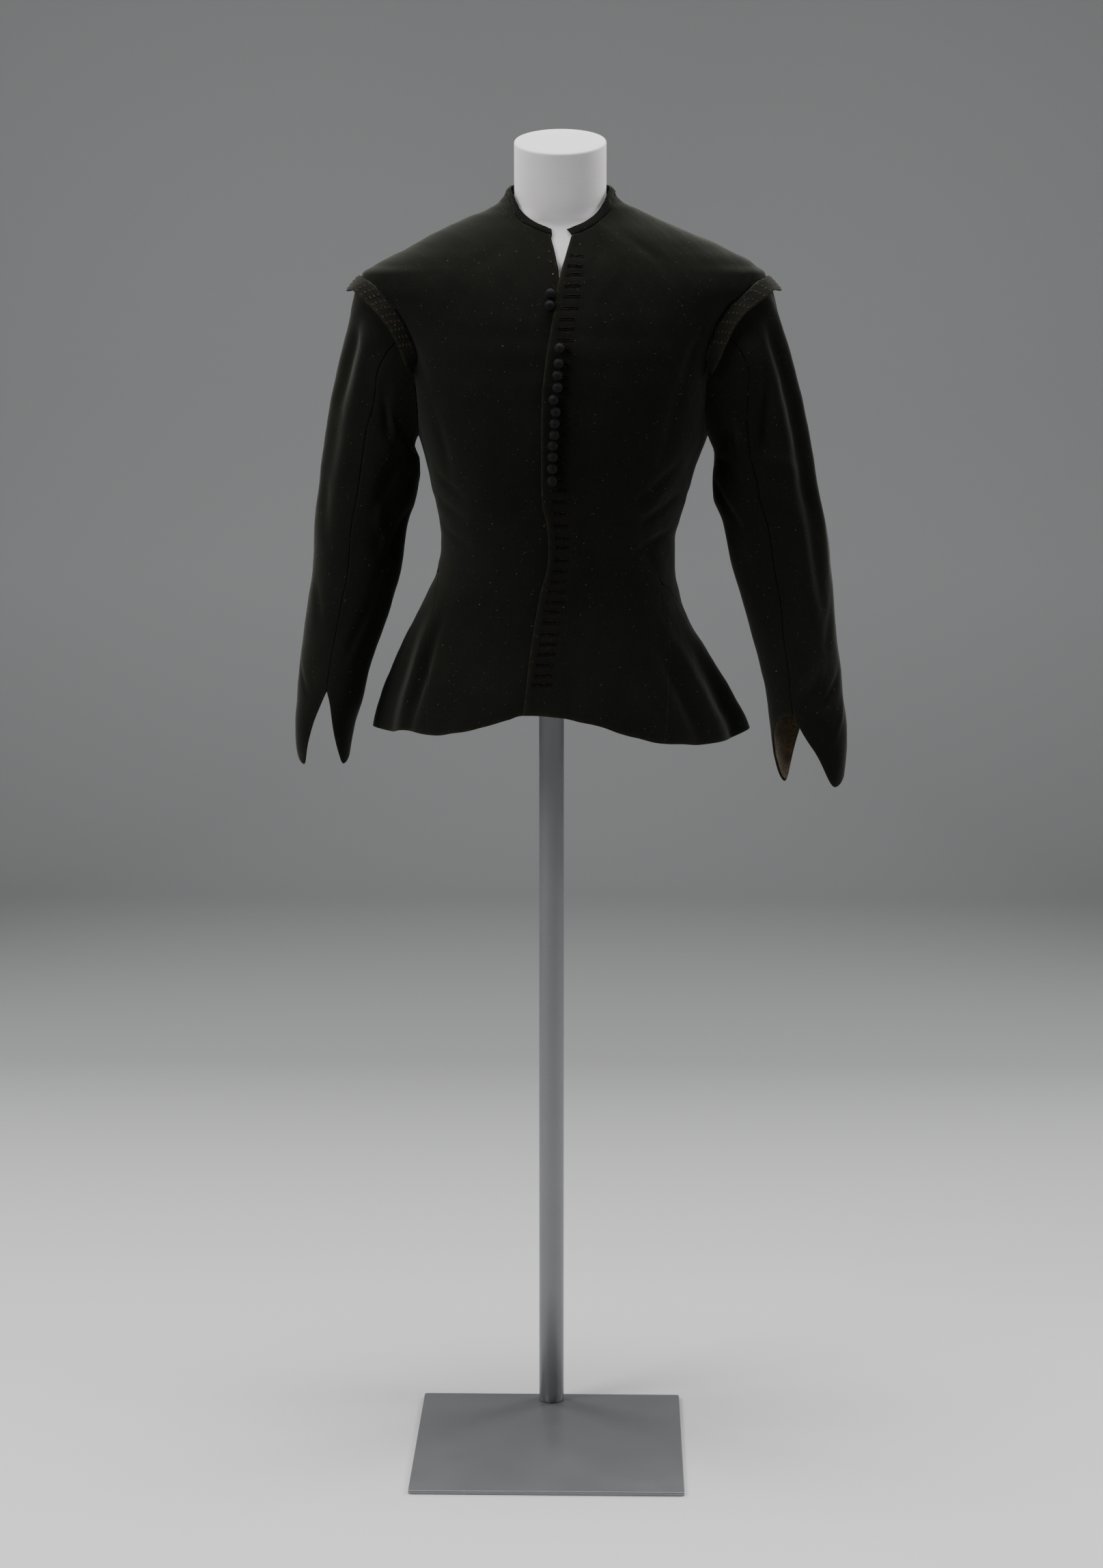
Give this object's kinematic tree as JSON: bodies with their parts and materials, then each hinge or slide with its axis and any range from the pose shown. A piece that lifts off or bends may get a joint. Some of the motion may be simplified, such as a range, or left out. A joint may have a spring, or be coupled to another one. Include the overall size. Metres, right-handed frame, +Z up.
{
  "type": "doublet on a dress form stand",
  "caption": "Early seventeenth-century style wool doublet with shoulder wings and pointed cuffs, on a limbless dress form with a pole and a flat foot.",
  "frame": {"origin": "on the floor, under the middle of the pole", "axes": "+Z up, -Y towards the garment's front, +X towards the wearer's left"},
  "size_m": [0.6982, 0.477, 1.6531],
  "materials": {
    "wool": "matte",
    "button_thread": "satin",
    "linen_lining": "matte",
    "form_cover": "matte",
    "stand_paint": "satin"
  },
  "bodies": {
    "root": {"front_right": "wool", "front_left": "wool", "back": "wool", "gore_right": "wool", "gore_left": "wool", "neckband": "wool", "wing_right": "wool", "wing_left": "wool", "sleeve_right_outer": "wool", "sleeve_right_inner": "wool", "sleeve_left_outer": "wool", "sleeve_left_inner": "wool", "cuff_lining_left": "linen_lining", "button_01": "button_thread", "button_02": "button_thread", "button_03": "button_thread", "button_04": "button_thread", "button_05": "button_thread", "button_06": "button_thread", "button_07": "button_thread", "button_08": "button_thread", "button_09": "button_thread", "button_10": "button_thread", "button_11": "button_thread", "button_12": "button_thread", "button_13": "button_thread", "button_14": "button_thread", "dress_form": "form_cover", "pole": "stand_paint", "base_plate": "stand_paint"}
  },
  "joints": []
}
